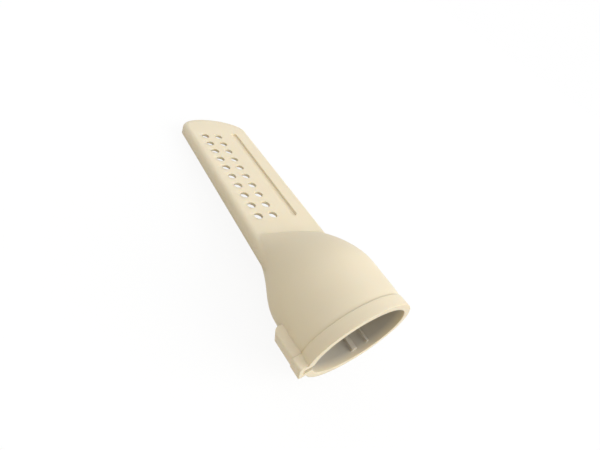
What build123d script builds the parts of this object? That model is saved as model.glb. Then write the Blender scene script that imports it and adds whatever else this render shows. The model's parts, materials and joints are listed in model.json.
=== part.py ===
"""Radiator nozzle for a vacuum cleaner: one moulding, a keyed oval socket that runs into a flat blade.

The blade is hollow, with a wide suction window below, two columns of air holes and a stiffening groove above.
Millimetres. The drawing frame has the socket's mouth at x = 0, the tip towards +X and the blade level.
The finished piece is laid as it rests on a table, on the socket's shoulder and the tip.
"""
import os
from math import atan2, cos, degrees, pi, sin, sqrt

from build123d import *

# Socket: a straight oval bore up to a stop for the tube, in a wall that swells towards the shoulder
bore_width = 37.2
bore_height = 29.6
rim_wall = 2.2
tube_stop = 0.5
socket_length = 20.0
socket_swell = 0.6

# Collar round the mouth
collar_length = 4.2
collar_raise = 0.3

# Shoulder that runs down to the blade
neck_position = 47.2
neck_sink = 0.8
neck_overlap = 2.0
neck_power = 2.6
waist_share = 0.7
shoulder_curve = 1.9
crease_skew = 0.12
hollow_share = 0.96

# Blade
blade_width = 33.5
blade_height = 6.2
blade_length = 87.1
blade_top_wall = 1.2
blade_side_wall = 1.8
blade_edge_radius = 2.1
blade_foot_chamfer = 1.2
tip_depth = 8.8

# Suction window under the blade
window_width = 24.6
window_start_from_neck = 5.0
window_tip_land = 5.5
window_corner_radius = 7.0

# Air holes
hole_diameter = 3.6
hole_rows = 10
hole_row_pitch = 6.5
hole_columns = 2
hole_column_pitch = 6.7
first_hole_from_neck = 10.4
hole_columns_offset = 6.1

# Stiffening groove
groove_width = 3.2
groove_depth = 0.9
groove_length = 64.5
groove_from_neck = 8.8
groove_offset = 7.3
groove_backing = 1.0

# Key on the end of the oval
key_length = 14.6
key_width = 6.6
key_mouth_reach = 3.1
key_end_reach = 4.6
key_wall = 1.6
key_edge_radius = 0.9
key_end_radius = 2.6

# Ribs that grip the tube, on the lower wall of the bore
rib_height = 0.9
rib_start = 2.0
rib_root = 0.8
wide_rib_width = 2.2
wide_rib_offset = 7.4
narrow_rib_width = 1.0
narrow_rib_offset = 12.5

# Sizes that follow from those above
bore_half_width = bore_width / 2
bore_half_height = bore_height / 2
mouth_half_width = bore_half_width + rim_wall
mouth_half_height = bore_half_height + rim_wall
socket_half_width = mouth_half_width + socket_swell
socket_half_height = mouth_half_height + socket_swell
shoulder_length = neck_position - socket_length
blade_half_width = blade_width / 2
blade_half_height = blade_height / 2
blade_start = neck_position - shoulder_length / 2
tip_position = neck_position + blade_length
cavity_half_width = blade_half_width - blade_side_wall
cavity_half_height = blade_half_height - blade_top_wall
window_length = blade_length - window_start_from_neck - window_tip_land
window_middle = neck_position + window_start_from_neck + window_length / 2
holes_middle = neck_position + first_hole_from_neck + (hole_rows - 1) * hole_row_pitch / 2
groove_middle = neck_position + groove_from_neck + groove_length / 2
key_end_tip = mouth_half_width + key_end_reach
mouth_plane = Plane(origin=(0, 0, 0), x_dir=(0, 1, 0), z_dir=(1, 0, 0))
blade_top = Plane.XY.offset(blade_half_height)


def oval(count, half_width, half_height, power):
    """Face of an oval through a count of points: a power of 2 is an ellipse, and higher powers are squarer."""
    points = []
    for index in range(count):
        across = cos(2 * pi * index / count)
        up = sin(2 * pi * index / count)
        y = half_width * abs(across) ** (2 / power) * (1 if across > 0 else -1)
        z = half_height * abs(up) ** (2 / power) * (1 if up > 0 else -1)
        points.append((y, z))
    with BuildSketch() as face:
        with BuildLine():
            Spline(*points, periodic=True)
        make_face()
    return face.sketch


def shoulder_share(x):
    """How far down the shoulder a place is: 0 on the socket, 1 at the neck."""
    return max(0.0, (x - socket_length) / shoulder_length)


def shoulder_sizes(x, socket_sizes, neck_sizes):
    """Half width, half height and power of the oval at a place, from the sizes at both ends of the shoulder."""
    share = shoulder_share(x)
    waist = min(1.0, share / waist_share)
    narrowing = waist ** 2 * (3 - 2 * waist)
    half_width = socket_sizes[0] + (neck_sizes[0] - socket_sizes[0]) * narrowing
    half_height = socket_sizes[1] + (neck_sizes[1] - socket_sizes[1]) * share ** shoulder_curve
    return half_width, half_height, 2 + (neck_power - 2) * share ** 2


def outer_sizes(x):
    """Half width, half height and power of the outer oval at a place."""
    swell_share = max(0.0, 1 - max(0.0, x - collar_length) / (socket_length - collar_length))
    unswollen = socket_swell * swell_share ** 2
    return shoulder_sizes(
        x, (socket_half_width - unswollen, socket_half_height - unswollen),
        (blade_half_width - neck_sink, blade_half_height))


def hollow_sizes(x):
    """Half width, half height and power of the oval hollow at a place beyond the tube's stop."""
    return shoulder_sizes(
        x, (bore_half_width - tube_stop, bore_half_height - tube_stop), (cavity_half_width, cavity_half_height))


def body_form(sizes, start, end, steps, count):
    """Body from a start to an end along the nozzle, through ovals that skew as the crease does."""
    with BuildPart() as form:
        for step in range(steps + 1):
            x = start + (end - start) * step / steps
            skew = crease_skew * shoulder_share(x) ** 2
            with BuildSketch(Plane(origin=(x, 0, 0), x_dir=(skew, 1, 0), z_dir=(1, -skew, 0))):
                add(oval(count, *sizes(x)))
        loft()
    return form.part


def blade_form(inset, half_height):
    """Flat body of the blade with an elliptical tip, in from its edge by an inset."""
    half_width = blade_half_width - inset
    tip_start = tip_position - tip_depth
    with BuildPart() as form:
        with BuildSketch():
            with BuildLine():
                Polyline((tip_start, half_width), (blade_start, half_width),
                         (blade_start, -half_width), (tip_start, -half_width))
                EllipticalCenterArc((tip_start, 0), tip_depth - inset, half_width, start_angle=-90, arc_size=180)
            make_face()
        extrude(amount=half_height, both=True)
    return form.part


def key_form(length, offset):
    """Bar of the key from the mouth up to a length, tapered outside, with its faces moved out by an offset."""
    slope = (key_end_reach - key_mouth_reach) / key_length
    mouth_tip = mouth_half_width + key_mouth_reach + offset
    with BuildPart() as form:
        with BuildSketch():
            with BuildLine():
                Polyline((0, 0), (length, 0), (length, mouth_tip + slope * length), (0, mouth_tip), close=True)
            make_face()
        extrude(amount=key_width / 2 + offset, both=True)
        fillet(form.edges().filter_by(Plane.XY).group_by(Axis.Y)[-1], key_edge_radius)
    return form.part


def bore_floor(y):
    """Height of the bore's lower wall at a distance y to the side."""
    return -bore_half_height * sqrt(1 - (y / bore_half_width) ** 2)


with BuildPart() as blade:
    add(blade_form(0, blade_half_height))
    start_edges = blade.faces().sort_by(Axis.X)[0].edges()
    foot, top = blade.faces().filter_by(Plane.XY).sort_by(Axis.Z)
    chamfer([edge for edge in foot.edges() if edge not in start_edges], blade_foot_chamfer)
    fillet([edge for edge in top.edges() if edge not in start_edges], blade_edge_radius)

with BuildPart() as key:
    add(key_form(key_length, 0))
    with BuildSketch() as plan:
        with Locations((key_length / 2, key_end_tip / 2)):
            Rectangle(key_length, key_end_tip)
        fillet(plan.vertices().group_by(Axis.Y)[-1].sort_by(Axis.X)[-1], key_end_radius)
    extrude(amount=key_width, both=True, mode=Mode.INTERSECT)

with BuildPart() as nozzle:
    # Socket, shoulder, blade and key
    add(body_form(outer_sizes, 0, neck_position + neck_overlap, steps=9, count=12))
    add(blade.part)
    add(key.part)

    # Collar round the oval and the key
    with BuildSketch(mouth_plane):
        Ellipse(mouth_half_width + collar_raise, mouth_half_height + collar_raise)
    extrude(amount=collar_length)
    add(key_form(collar_length, collar_raise))

    # Hollow of the socket, the shoulder, the key and the blade
    with BuildSketch(mouth_plane):
        Ellipse(bore_half_width, bore_half_height)
    extrude(amount=socket_length, mode=Mode.SUBTRACT)
    hollow_end = socket_length + shoulder_length * hollow_share
    add(body_form(hollow_sizes, socket_length, hollow_end, steps=4, count=8), mode=Mode.SUBTRACT)
    add(key_form(key_length - key_wall, -key_wall), mode=Mode.SUBTRACT)
    add(blade_form(blade_side_wall, cavity_half_height), mode=Mode.SUBTRACT)

    # Suction window
    with BuildSketch(Plane.XY.offset(-blade_half_height)):
        with Locations((window_middle, 0)):
            RectangleRounded(window_length, window_width, window_corner_radius)
    extrude(amount=blade_half_height, mode=Mode.SUBTRACT)

    # Stiffening groove, backed on the inside, and air holes
    with BuildSketch(blade_top.offset(-blade_top_wall)):
        with Locations((groove_middle, -groove_offset)):
            Rectangle(groove_length + 2 * groove_backing, groove_width + 2 * groove_backing)
    extrude(amount=blade_top_wall - groove_depth - groove_backing)
    with BuildSketch(blade_top):
        with Locations((groove_middle, -groove_offset)):
            SlotOverall(groove_length, groove_width)
    extrude(amount=-groove_depth, mode=Mode.SUBTRACT)
    with BuildSketch(blade_top):
        with Locations((holes_middle, hole_columns_offset)):
            with GridLocations(hole_row_pitch, hole_column_pitch, hole_rows, hole_columns):
                Circle(hole_diameter / 2)
    extrude(amount=-blade_half_height, mode=Mode.SUBTRACT)

    # Ribs on the lower wall of the bore
    with BuildSketch(mouth_plane.offset(rib_start)):
        for offset, width in ((wide_rib_offset, wide_rib_width), (narrow_rib_offset, narrow_rib_width)):
            with Locations((-offset, bore_floor(offset) + (rib_height - rib_root) / 2)):
                Rectangle(width, rib_height + rib_root)
    extrude(amount=socket_length - rib_start)

# Lay the piece on its shoulder and tip, with the middle of its box over the origin
tip_rest = tip_position - blade_foot_chamfer
rest_tilts = []
for step in range(101):
    place = socket_length + shoulder_length * step / 100
    rest_tilts.append(degrees(atan2(outer_sizes(place)[1] - blade_half_height, tip_rest - place)))
laid = nozzle.part.rotate(Axis.Y, max(rest_tilts))
box = laid.bounding_box()
laid = laid.translate((-box.center().X, -box.center().Y, -box.min.Z))

os.makedirs("parts", exist_ok=True)
laid.label = "nozzle_body"
export_step(laid, "parts/nozzle_body.step")
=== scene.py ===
"""Dresses the radiator nozzle in moulded plastic and sets a plain studio around it.

Metres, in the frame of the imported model: +X towards the blade's tip, +Z up, the nozzle lying on z = 0.
"""
import json
from math import atan2, cos, hypot, radians, sin

import bpy
from mathutils import Matrix, Vector


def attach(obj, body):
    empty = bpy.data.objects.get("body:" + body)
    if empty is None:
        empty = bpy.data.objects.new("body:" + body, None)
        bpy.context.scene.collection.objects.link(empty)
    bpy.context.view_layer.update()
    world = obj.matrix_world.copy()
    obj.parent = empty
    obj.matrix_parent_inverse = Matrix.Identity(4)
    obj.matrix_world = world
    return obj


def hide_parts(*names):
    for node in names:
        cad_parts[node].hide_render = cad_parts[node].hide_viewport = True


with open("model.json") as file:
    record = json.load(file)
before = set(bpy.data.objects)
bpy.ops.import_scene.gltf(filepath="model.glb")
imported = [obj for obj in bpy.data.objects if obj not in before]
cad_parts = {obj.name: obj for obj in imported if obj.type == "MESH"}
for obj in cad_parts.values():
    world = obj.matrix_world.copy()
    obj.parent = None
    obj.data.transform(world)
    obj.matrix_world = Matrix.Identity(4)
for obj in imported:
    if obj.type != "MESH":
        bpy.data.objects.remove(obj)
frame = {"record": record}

bl_info = {
    "name": "Radiator nozzle",
    "version": (1, 0, 0),
    "blender": (4, 5, 0),
    "location": "View3D > Sidebar > Nozzle",
    "description": "Finishes a moulded radiator nozzle and lights it on a pale floor",
    "category": "Object",
}

MILLIMETRE = 0.001
WHITE = (1, 1, 1, 1)
FULL = 1.0

# Moulding
NOZZLE_NODE = "nozzle_body"
MOULDING = "nozzle_moulding"
MERGE_DISTANCE = 0.001 * MILLIMETRE
SMOOTH_ANGLE = radians(25)

# Plastic: how ABS bends light, how far red, green and blue sink into it, and how its patterns are drawn
ABS_IOR = 1.53
SINK_BY_COLOUR = (1.0, 0.75, 0.45)
CLOUD_DETAIL = 2.0
GRAIN_DETAIL = 3.0
GRAIN_LOW = 0.3
GRAIN_HIGH = 0.7
ROUNDING_SAMPLES = 8

# Studio
CARD_ROUGHNESS = 0.9
PICTURE_WIDTH = 600
FOCAL_PIXELS = 329.9
SENSOR_WIDTH = 36.0

# Sockets of the Mix node, which go by number because their names repeat
FIRST_NUMBER = 2
SECOND_NUMBER = 3
FIRST_COLOUR = 6
SECOND_COLOUR = 7
MIXED_NUMBER = 0
MIXED_COLOUR = 2


def linear_colour(hex_colour):
    """Linear RGBA of an sRGB hex colour such as "#EEE3C7"."""
    channels = []
    for place in (1, 3, 5):
        value = int(hex_colour[place:place + 2], 16) / 255
        channels.append(value / 12.92 if value <= 0.04045 else ((value + 0.055) / 1.055) ** 2.4)
    return (*channels, 1.0)


def add_node(tree, kind, settings=None, inputs=None):
    """Adds a node, sets its properties, and sets or links its inputs by name or number."""
    node = tree.nodes.new(kind)
    for name, value in (settings or {}).items():
        setattr(node, name, value)
    for name, value in (inputs or {}).items():
        if isinstance(value, bpy.types.NodeSocket):
            tree.links.new(value, node.inputs[name])
        else:
            node.inputs[name].default_value = value
    return node


def socket_place():
    """Matrix of the socket's frame: X into the mouth from its middle, Y to the key's side, Z up."""
    mount = next(mount for mount in frame["record"]["mounts"] if mount["name"] == "tube_socket")
    inwards = -Vector(mount["axis"])
    aside = Vector((0, 1, 0))
    turn = Matrix((inwards, aside, inwards.cross(aside))).transposed().to_4x4()
    return Matrix.Translation(mount["pos_m"]) @ turn


def fade(value, full, none):
    """1 up to a full value and 0 from another on, with a smooth step between them."""
    share = min(1.0, max(0.0, (none - value) / (none - full)))
    return share ** 2 * (3 - 2 * share)


class NozzleKey(bpy.types.PropertyGroup):
    """Seat of the key on the socket's oval"""

    oval_half_width: bpy.props.FloatProperty(
        name="Oval half width", description="Half width of the socket's outer oval", unit="LENGTH",
        default=20.8 * MILLIMETRE, min=MILLIMETRE)
    oval_half_height: bpy.props.FloatProperty(
        name="Oval half height", description="Half height of the socket's outer oval", unit="LENGTH",
        default=17.0 * MILLIMETRE, min=MILLIMETRE)
    oval_edge: bpy.props.FloatProperty(
        name="Oval edge", description="Where the key starts to stand out, in radii of the oval",
        default=1.03, min=1)
    key_turn: bpy.props.FloatProperty(
        name="Key turn", description="How far the key slides down round the oval", subtype="ANGLE",
        default=radians(16.0))
    key_reach: bpy.props.FloatProperty(
        name="Key reach", description="Share of the key's height that it keeps", subtype="FACTOR",
        default=0.78, min=0, max=1)
    key_spread: bpy.props.FloatProperty(
        name="Key spread", description="Turn from the oval's end within which all slides as one",
        subtype="ANGLE", default=radians(25.0))
    still_spread: bpy.props.FloatProperty(
        name="Still spread", description="Turn from the oval's end beyond which nothing slides",
        subtype="ANGLE", default=radians(75.0))
    key_end: bpy.props.FloatProperty(
        name="Key end", description="Depth from the mouth to which all slides as one", unit="LENGTH",
        default=15 * MILLIMETRE)
    still_end: bpy.props.FloatProperty(
        name="Still end", description="Depth from the mouth beyond which nothing slides", unit="LENGTH",
        default=24 * MILLIMETRE)


class NozzleFinish(bpy.types.PropertyGroup):
    """Colours, grain and drawn edges of the moulding"""

    body_colour: bpy.props.FloatVectorProperty(
        name="Body colour", description="Beige of the plastic", subtype="COLOR", size=4, min=0, max=1,
        default=linear_colour("#EADEC4"))
    drift_colour: bpy.props.FloatVectorProperty(
        name="Drift colour", description="Beige that the colour drifts to in broad, faint clouds",
        subtype="COLOR", size=4, min=0, max=1, default=linear_colour("#E5D8BA"))
    cloud_size: bpy.props.FloatProperty(
        name="Cloud size", description="Width of the broad colour clouds", unit="LENGTH",
        default=24 * MILLIMETRE, min=MILLIMETRE)
    grain_size: bpy.props.FloatProperty(
        name="Grain size", description="Width of a bump of the eroded mould's grain", unit="LENGTH",
        default=0.45 * MILLIMETRE, min=0.05 * MILLIMETRE)
    grain_height: bpy.props.FloatProperty(
        name="Grain height", description="Height of the grain", unit="LENGTH",
        default=0.02 * MILLIMETRE, min=0)
    least_roughness: bpy.props.FloatProperty(
        name="Least roughness", description="Roughness in the grain's hollows", subtype="FACTOR",
        default=0.42, min=0, max=1)
    most_roughness: bpy.props.FloatProperty(
        name="Most roughness", description="Roughness on the grain's bumps", subtype="FACTOR",
        default=0.56, min=0, max=1)
    edge_radius: bpy.props.FloatProperty(
        name="Edge radius", description="Rounding that the light shows on the moulding's edges",
        unit="LENGTH", default=0.4 * MILLIMETRE, min=0)
    blade_radius: bpy.props.FloatProperty(
        name="Blade radius", description="Rounding that the light shows along the blade's outer edge",
        unit="LENGTH", default=3.4 * MILLIMETRE, min=0)
    round_side: bpy.props.FloatProperty(
        name="Round side", description="Distance from the middle at which the blade's rounding starts",
        unit="LENGTH", default=9 * MILLIMETRE, min=0)
    round_tip: bpy.props.FloatProperty(
        name="Round tip", description="Depth from the mouth at which it starts at the tip", unit="LENGTH",
        default=122 * MILLIMETRE, min=0)
    round_start: bpy.props.FloatProperty(
        name="Round start", description="Depth from the mouth at which it starts on the sides",
        unit="LENGTH", default=33 * MILLIMETRE, min=0)
    round_fade: bpy.props.FloatProperty(
        name="Round fade", description="Length over which it sets in", unit="LENGTH",
        default=3 * MILLIMETRE, min=0.1 * MILLIMETRE)
    softness: bpy.props.FloatProperty(
        name="Softness", description="Share of the light that sinks into the plastic and comes out nearby",
        subtype="FACTOR", default=0.35, min=0, max=1)
    light_depth: bpy.props.FloatProperty(
        name="Light depth", description="How far red light spreads inside the plastic", unit="LENGTH",
        default=1.2 * MILLIMETRE, min=0)
    # Painted shade in the bore: its wall is drawn darker and greyer than the plastic, rising over the first
    # millimetres from the mouth and gone further in
    painted_shade_colour: bpy.props.FloatVectorProperty(
        name="Film colour", description="Grey of the dust rubbed into the bore", subtype="COLOR", size=4,
        min=0, max=1, default=linear_colour("#ACA79D"))
    painted_shade_strength: bpy.props.FloatProperty(
        name="Film strength", description="Share of the plastic's colour that the dust hides",
        subtype="FACTOR", default=0.85, min=0, max=1)
    painted_shade_radius: bpy.props.FloatProperty(
        name="Film radius", description="Radius within which dust lies, in radii of the outer oval",
        default=0.94, min=0)
    painted_shade_start: bpy.props.FloatProperty(
        name="Film start", description="Depth at which the dust is full", unit="LENGTH",
        default=3 * MILLIMETRE)
    painted_shade_end: bpy.props.FloatProperty(
        name="Film end", description="Depth at which the dust starts to thin", unit="LENGTH",
        default=20 * MILLIMETRE)
    painted_shade_gone: bpy.props.FloatProperty(
        name="Film gone", description="Depth from which there is no dust", unit="LENGTH",
        default=24 * MILLIMETRE)


class NozzleStudio(bpy.types.PropertyGroup):
    """Floor, sky, lamp and camera"""

    floor_colour: bpy.props.FloatVectorProperty(
        name="Floor colour", description="Pale floor and backdrop", subtype="COLOR", size=4, min=0, max=1,
        default=linear_colour("#FAFAF8"))
    bounce_colour: bpy.props.FloatVectorProperty(
        name="Bounce colour", description="Colour of the light that the floor throws back on the nozzle",
        subtype="COLOR", size=4, min=0, max=1, default=linear_colour("#C9C0AA"))
    floor_size: bpy.props.FloatProperty(
        name="Floor size", description="Length of the square floor's side", unit="LENGTH",
        default=6.0, min=1.0)
    floor_glow: bpy.props.FloatProperty(
        name="Floor glow", description="Share of plain white in the floor that the camera sees",
        subtype="FACTOR", default=0.9, min=0, max=1)
    horizon_level: bpy.props.FloatProperty(
        name="Horizon level", description="Strength of the light from the sides", default=0.42, min=0)
    zenith_level: bpy.props.FloatProperty(
        name="Zenith level", description="Strength of the light from straight above", default=1.0, min=0)
    lamp_strength: bpy.props.FloatProperty(
        name="Lamp strength", description="Strength of the large soft lamp", default=1.8, min=0)
    lamp_spread: bpy.props.FloatProperty(
        name="Lamp spread", description="Width of the large soft lamp, as the nozzle sees it",
        subtype="ANGLE", default=radians(45.0), min=0)
    lamp_place: bpy.props.FloatVectorProperty(
        name="Lamp place", description="Side that the large soft lamp shines from", subtype="XYZ",
        unit="LENGTH", size=3, default=(-0.42, -0.42, 0.37))
    camera_place: bpy.props.FloatVectorProperty(
        name="Camera place", description="Place of the camera", subtype="XYZ", unit="LENGTH", size=3,
        default=(-0.07688, 0.07412, 0.10151))
    camera_aim: bpy.props.FloatVectorProperty(
        name="Camera aim", description="Point in the middle of the picture", subtype="XYZ",
        unit="LENGTH", size=3, default=(-0.01049, -0.01478, 0.010))
    camera_roll: bpy.props.FloatProperty(
        name="Camera roll", description="Turn of the camera about its line of sight", subtype="ANGLE",
        default=radians(33.82))


def socket_parts(tree, place, key):
    """Sockets of a place's X in metres from the mouth, and its Y and Z in radii of the outer oval."""
    socket = socket_place()
    local = add_node(
        tree, "ShaderNodeMapping", {"vector_type": "TEXTURE"},
        {"Vector": place, "Location": socket.to_translation(), "Rotation": socket.to_euler(),
         "Scale": (1, key.oval_half_width, key.oval_half_height)})
    return add_node(tree, "ShaderNodeSeparateXYZ", {}, {0: local.outputs[0]}).outputs


def edge_rounding(tree, parts, key, finish):
    """Socket of the drawn rounding: small in general, and large along the outer edge of the blade."""
    side_end = finish.round_side + finish.round_fade
    tip_end = finish.round_tip + finish.round_fade
    start_end = finish.round_start + finish.round_fade
    aside = add_node(tree, "ShaderNodeMath", {"operation": "ABSOLUTE"}, {0: parts["Y"]})
    sides = add_node(
        tree, "ShaderNodeMapRange", {},
        {"Value": aside.outputs[0], "From Min": finish.round_side / key.oval_half_width,
         "From Max": side_end / key.oval_half_width})
    tip = add_node(
        tree, "ShaderNodeMapRange", {},
        {"Value": parts["X"], "From Min": finish.round_tip, "From Max": tip_end})
    rim = add_node(
        tree, "ShaderNodeMath", {"operation": "MAXIMUM"},
        {0: sides.outputs["Result"], 1: tip.outputs["Result"]})
    blade = add_node(
        tree, "ShaderNodeMapRange", {},
        {"Value": parts["X"], "From Min": finish.round_start, "From Max": start_end})
    share = add_node(
        tree, "ShaderNodeMath", {"operation": "MULTIPLY"}, {0: rim.outputs[0], 1: blade.outputs["Result"]})
    radius = add_node(
        tree, "ShaderNodeMapRange", {},
        {"Value": share.outputs[0], "To Min": finish.edge_radius, "To Max": finish.blade_radius})
    return radius.outputs["Result"]


def painted_bore_shade(tree, parts, finish):
    """Socket of the painted shade: 0 outside, rising to its strength on the wall of the bore."""
    across = add_node(tree, "ShaderNodeCombineXYZ", {}, {"Y": parts["Y"], "Z": parts["Z"]})
    radius = add_node(tree, "ShaderNodeVectorMath", {"operation": "LENGTH"}, {0: across.outputs[0]})
    within = add_node(
        tree, "ShaderNodeMath", {"operation": "LESS_THAN"},
        {0: radius.outputs["Value"], 1: finish.painted_shade_radius})
    entry = add_node(
        tree, "ShaderNodeMapRange", {},
        {"Value": parts["X"], "From Min": 0, "From Max": finish.painted_shade_start, "To Max": finish.painted_shade_strength})
    end = add_node(
        tree, "ShaderNodeMapRange", {},
        {"Value": parts["X"], "From Min": finish.painted_shade_end, "From Max": finish.painted_shade_gone,
         "To Min": 1, "To Max": 0})
    wall = add_node(
        tree, "ShaderNodeMath", {"operation": "MULTIPLY"}, {0: within.outputs[0], 1: entry.outputs["Result"]})
    bore_shade_share = add_node(
        tree, "ShaderNodeMath", {"operation": "MULTIPLY"}, {0: wall.outputs[0], 1: end.outputs["Result"]})
    return bore_shade_share.outputs[0]


def moulded_plastic(key, finish):
    """ABS from a finely eroded mould: even and satin, with a little depth, and with painted shade, darker and
    greyer, on the wall of the bore.
    """
    material = bpy.data.materials.new("moulded_abs_beige")
    material.use_nodes = True
    tree = material.node_tree
    shader = tree.nodes["Principled BSDF"]
    place = add_node(tree, "ShaderNodeTexCoord").outputs["Object"]
    parts = socket_parts(tree, place, key)

    # Pigment that isn't quite evenly mixed shows as broad, faint clouds
    clouds = add_node(
        tree, "ShaderNodeTexNoise", {},
        {"Vector": place, "Scale": 1 / finish.cloud_size, "Detail": CLOUD_DETAIL})
    pigment = add_node(
        tree, "ShaderNodeMix", {"data_type": "RGBA"},
        {0: clouds.outputs["Fac"], FIRST_COLOUR: finish.body_colour, SECOND_COLOUR: finish.drift_colour})
    # Painted shade: the wall of the bore is drawn darker and greyer than the plastic
    colour = add_node(
        tree, "ShaderNodeMix", {"data_type": "RGBA"},
        {0: painted_bore_shade(tree, parts, finish), FIRST_COLOUR: pigment.outputs[MIXED_COLOUR],
         SECOND_COLOUR: finish.painted_shade_colour})
    tree.links.new(colour.outputs[MIXED_COLOUR], shader.inputs["Base Color"])

    # Eroded moulds leave a fine grain, drawn coarser than the real 0.1 mm so that it shows
    grain = add_node(
        tree, "ShaderNodeTexNoise", {},
        {"Vector": place, "Scale": 1 / finish.grain_size, "Detail": GRAIN_DETAIL})
    roughness = add_node(
        tree, "ShaderNodeMapRange", {},
        {"Value": grain.outputs["Fac"], "From Min": GRAIN_LOW, "From Max": GRAIN_HIGH,
         "To Min": finish.least_roughness, "To Max": finish.most_roughness})
    tree.links.new(roughness.outputs["Result"], shader.inputs["Roughness"])

    # Moulded edges are never quite sharp, so the light rounds them
    edges = add_node(
        tree, "ShaderNodeBevel", {"samples": ROUNDING_SAMPLES},
        {"Radius": edge_rounding(tree, parts, key, finish)})
    bump = add_node(
        tree, "ShaderNodeBump", {},
        {"Height": grain.outputs["Fac"], "Distance": finish.grain_height, "Strength": FULL,
         "Normal": edges.outputs["Normal"]})
    tree.links.new(bump.outputs["Normal"], shader.inputs["Normal"])

    # Light sinks a little way into pale plastic and softens its shade
    shader.inputs["IOR"].default_value = ABS_IOR
    shader.inputs["Subsurface Weight"].default_value = finish.softness
    shader.inputs["Subsurface Radius"].default_value = SINK_BY_COLOUR
    shader.inputs["Subsurface Scale"].default_value = finish.light_depth
    return material


def background_rays(tree):
    """Socket that is 1 for rays of the camera, of reflections and through clear matter, and 0 for light."""
    path = add_node(tree, "ShaderNodeLightPath").outputs
    mirrored = add_node(
        tree, "ShaderNodeMath", {"operation": "MAXIMUM"},
        {0: path["Is Camera Ray"], 1: path["Is Glossy Ray"]})
    seen = add_node(
        tree, "ShaderNodeMath", {"operation": "MAXIMUM"},
        {0: mirrored.outputs[0], 1: path["Is Transmission Ray"]})
    return seen.outputs[0]


def floor_paint(studio):
    """Matt white card: the camera sees it nearly white, with the nozzle's shadow kept faint."""
    material = bpy.data.materials.new("matt_white_card")
    material.use_nodes = True
    tree = material.node_tree
    shader = tree.nodes["Principled BSDF"]
    seen = background_rays(tree)
    colour = add_node(
        tree, "ShaderNodeMix", {"data_type": "RGBA"},
        {0: seen, FIRST_COLOUR: studio.bounce_colour, SECOND_COLOUR: studio.floor_colour})
    tree.links.new(colour.outputs[MIXED_COLOUR], shader.inputs["Base Color"])
    shader.inputs["Roughness"].default_value = CARD_ROUGHNESS
    share = add_node(
        tree, "ShaderNodeMath", {"operation": "MULTIPLY"}, {0: seen, 1: studio.floor_glow})
    white = add_node(tree, "ShaderNodeEmission", {}, {"Color": WHITE, "Strength": FULL})
    mixed = add_node(
        tree, "ShaderNodeMixShader", {},
        {0: share.outputs[0], 1: shader.outputs["BSDF"], 2: white.outputs["Emission"]})
    tree.links.new(mixed.outputs["Shader"], tree.nodes["Material Output"].inputs["Surface"])
    return material


class NOZZLE_OT_seat_key(bpy.types.Operator):
    """Copy the moulding with its key slid down the oval"""

    bl_idname = "nozzle.seat_key"
    bl_label = "Seat the key"

    def execute(self, context):
        moulding = self.merged_copy(context)
        key = context.scene.nozzle_key
        socket = socket_place()
        to_socket = socket.inverted()
        for vertex in moulding.data.vertices:
            vertex.co = socket @ self.slid(to_socket @ vertex.co, key)
        bpy.ops.object.shade_smooth_by_angle(angle=SMOOTH_ANGLE)
        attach(moulding, "root")
        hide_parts(NOZZLE_NODE)
        return {"FINISHED"}

    def merged_copy(self, context):
        """Copy of the solid's mesh with its loose triangles joined."""
        moulding = bpy.data.objects.new(MOULDING, bpy.data.objects[NOZZLE_NODE].data.copy())
        context.scene.collection.objects.link(moulding)
        bpy.ops.object.select_all(action="DESELECT")
        moulding.select_set(True)
        context.view_layer.objects.active = moulding
        bpy.ops.mesh.customdata_custom_splitnormals_clear()
        bpy.ops.object.mode_set(mode="EDIT")
        bpy.ops.mesh.select_all(action="SELECT")
        bpy.ops.mesh.remove_doubles(threshold=MERGE_DISTANCE)
        bpy.ops.object.mode_set(mode="OBJECT")
        return moulding

    def slid(self, point, key):
        """Where a point of the socket's frame goes: round the oval with the key, or nowhere far from it."""
        across = point.y / key.oval_half_width
        height = point.z / key.oval_half_height
        radius = hypot(across, height)
        angle = atan2(height, across)
        share = fade(abs(angle), key.key_spread, key.still_spread) * fade(point.x, key.key_end, key.still_end)
        angle -= share * key.key_turn
        radius -= share * (1 - key.key_reach) * max(0.0, radius - key.oval_edge)
        return Vector((
            point.x, radius * cos(angle) * key.oval_half_width, radius * sin(angle) * key.oval_half_height))


class NOZZLE_OT_finish_moulding(bpy.types.Operator):
    """Give the moulding its beige plastic"""

    bl_idname = "nozzle.finish_moulding"
    bl_label = "Finish the moulding"

    def execute(self, context):
        moulding = bpy.data.objects[MOULDING]
        moulding.data.materials.clear()
        plastic = moulded_plastic(context.scene.nozzle_key, context.scene.nozzle_finish)
        moulding.data.materials.append(plastic)
        return {"FINISHED"}


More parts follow.
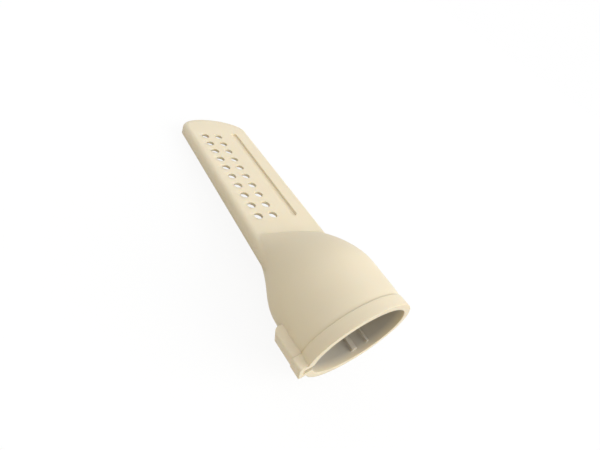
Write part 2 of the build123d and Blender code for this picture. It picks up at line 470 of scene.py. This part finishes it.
class NOZZLE_OT_set_studio(bpy.types.Operator):
    """Lay the floor and set the sky, the lamp and the camera"""

    bl_idname = "nozzle.set_studio"
    bl_label = "Set the studio"

    def execute(self, context):
        studio = context.scene.nozzle_studio
        self.lay_floor(studio)
        self.light_sky(context.scene, studio)
        self.hang_lamp(context.scene, studio)
        self.set_camera(context.scene, studio)
        context.scene.view_settings.view_transform = "Standard"
        return {"FINISHED"}

    def lay_floor(self, studio):
        """A wide matt card under the nozzle."""
        bpy.ops.object.select_all(action="DESELECT")
        bpy.ops.mesh.primitive_plane_add(size=studio.floor_size, location=(0, 0, 0))
        floor = bpy.context.object
        floor.name = "floor"
        floor.data.materials.append(floor_paint(studio))

    def light_sky(self, scene, studio):
        """Soft light that is strongest from above, and white to the camera."""
        scene.world = bpy.data.worlds.new("studio_sky")
        scene.world.use_nodes = True
        tree = scene.world.node_tree
        place = add_node(tree, "ShaderNodeTexCoord").outputs["Generated"]
        direction = add_node(tree, "ShaderNodeSeparateXYZ", {}, {0: place})
        light = add_node(
            tree, "ShaderNodeMapRange", {},
            {"Value": direction.outputs["Z"], "To Min": studio.horizon_level, "To Max": studio.zenith_level})
        level = add_node(
            tree, "ShaderNodeMix", {"data_type": "FLOAT"},
            {0: background_rays(tree), FIRST_NUMBER: light.outputs["Result"], SECOND_NUMBER: FULL})
        tree.links.new(level.outputs[MIXED_NUMBER], tree.nodes["Background"].inputs["Strength"])
        tree.nodes["Background"].inputs["Color"].default_value = WHITE

    def hang_lamp(self, scene, studio):
        """One large soft lamp far off to the right of the mouth, which lights the whole floor evenly."""
        lamp = bpy.data.lights.new("soft_lamp", "SUN")
        lamp.energy = studio.lamp_strength
        lamp.angle = studio.lamp_spread
        holder = bpy.data.objects.new("soft_lamp", lamp)
        scene.collection.objects.link(holder)
        place = Vector(studio.lamp_place)
        holder.location = place
        holder.rotation_euler = (-place).to_track_quat("-Z", "Y").to_euler()

    def set_camera(self, scene, studio):
        """A wide lens close to the socket, rolled as the picture is."""
        lens = bpy.data.cameras.new("camera")
        lens.sensor_width = SENSOR_WIDTH
        lens.lens = FOCAL_PIXELS / PICTURE_WIDTH * SENSOR_WIDTH
        lens.clip_start = MILLIMETRE
        camera = bpy.data.objects.new("camera", lens)
        scene.collection.objects.link(camera)
        place = Vector(studio.camera_place)
        aim = (Vector(studio.camera_aim) - place).to_track_quat("-Z", "Y").to_matrix().to_4x4()
        roll = Matrix.Rotation(studio.camera_roll, 4, "Z")
        camera.matrix_world = Matrix.Translation(place) @ aim @ roll
        scene.camera = camera


class NOZZLE_PT_sidebar(bpy.types.Panel):
    """Steps and settings of the nozzle"""

    bl_idname = "NOZZLE_PT_sidebar"
    bl_label = "Radiator nozzle"
    bl_space_type = "VIEW_3D"
    bl_region_type = "UI"
    bl_category = "Nozzle"

    def draw(self, context):
        for operator in OPERATORS:
            self.layout.operator(operator.bl_idname)
        scene = context.scene
        for settings in (scene.nozzle_key, scene.nozzle_finish, scene.nozzle_studio):
            box = self.layout.box()
            for name in settings.__annotations__:
                box.prop(settings, name)


OPERATORS = (NOZZLE_OT_seat_key, NOZZLE_OT_finish_moulding, NOZZLE_OT_set_studio)
CLASSES = (NozzleKey, NozzleFinish, NozzleStudio, *OPERATORS, NOZZLE_PT_sidebar)


def register():
    for cls in CLASSES:
        bpy.utils.register_class(cls)
    bpy.types.Scene.nozzle_key = bpy.props.PointerProperty(type=NozzleKey)
    bpy.types.Scene.nozzle_finish = bpy.props.PointerProperty(type=NozzleFinish)
    bpy.types.Scene.nozzle_studio = bpy.props.PointerProperty(type=NozzleStudio)


def unregister():
    del bpy.types.Scene.nozzle_studio
    del bpy.types.Scene.nozzle_finish
    del bpy.types.Scene.nozzle_key
    for cls in reversed(CLASSES):
        bpy.utils.unregister_class(cls)


def main():
    """Dresses the nozzle and sets the studio."""
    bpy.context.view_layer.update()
    register()
    bpy.ops.nozzle.seat_key()
    bpy.ops.nozzle.finish_moulding()
    bpy.ops.nozzle.set_studio()


if __name__ == "__main__":
    main()
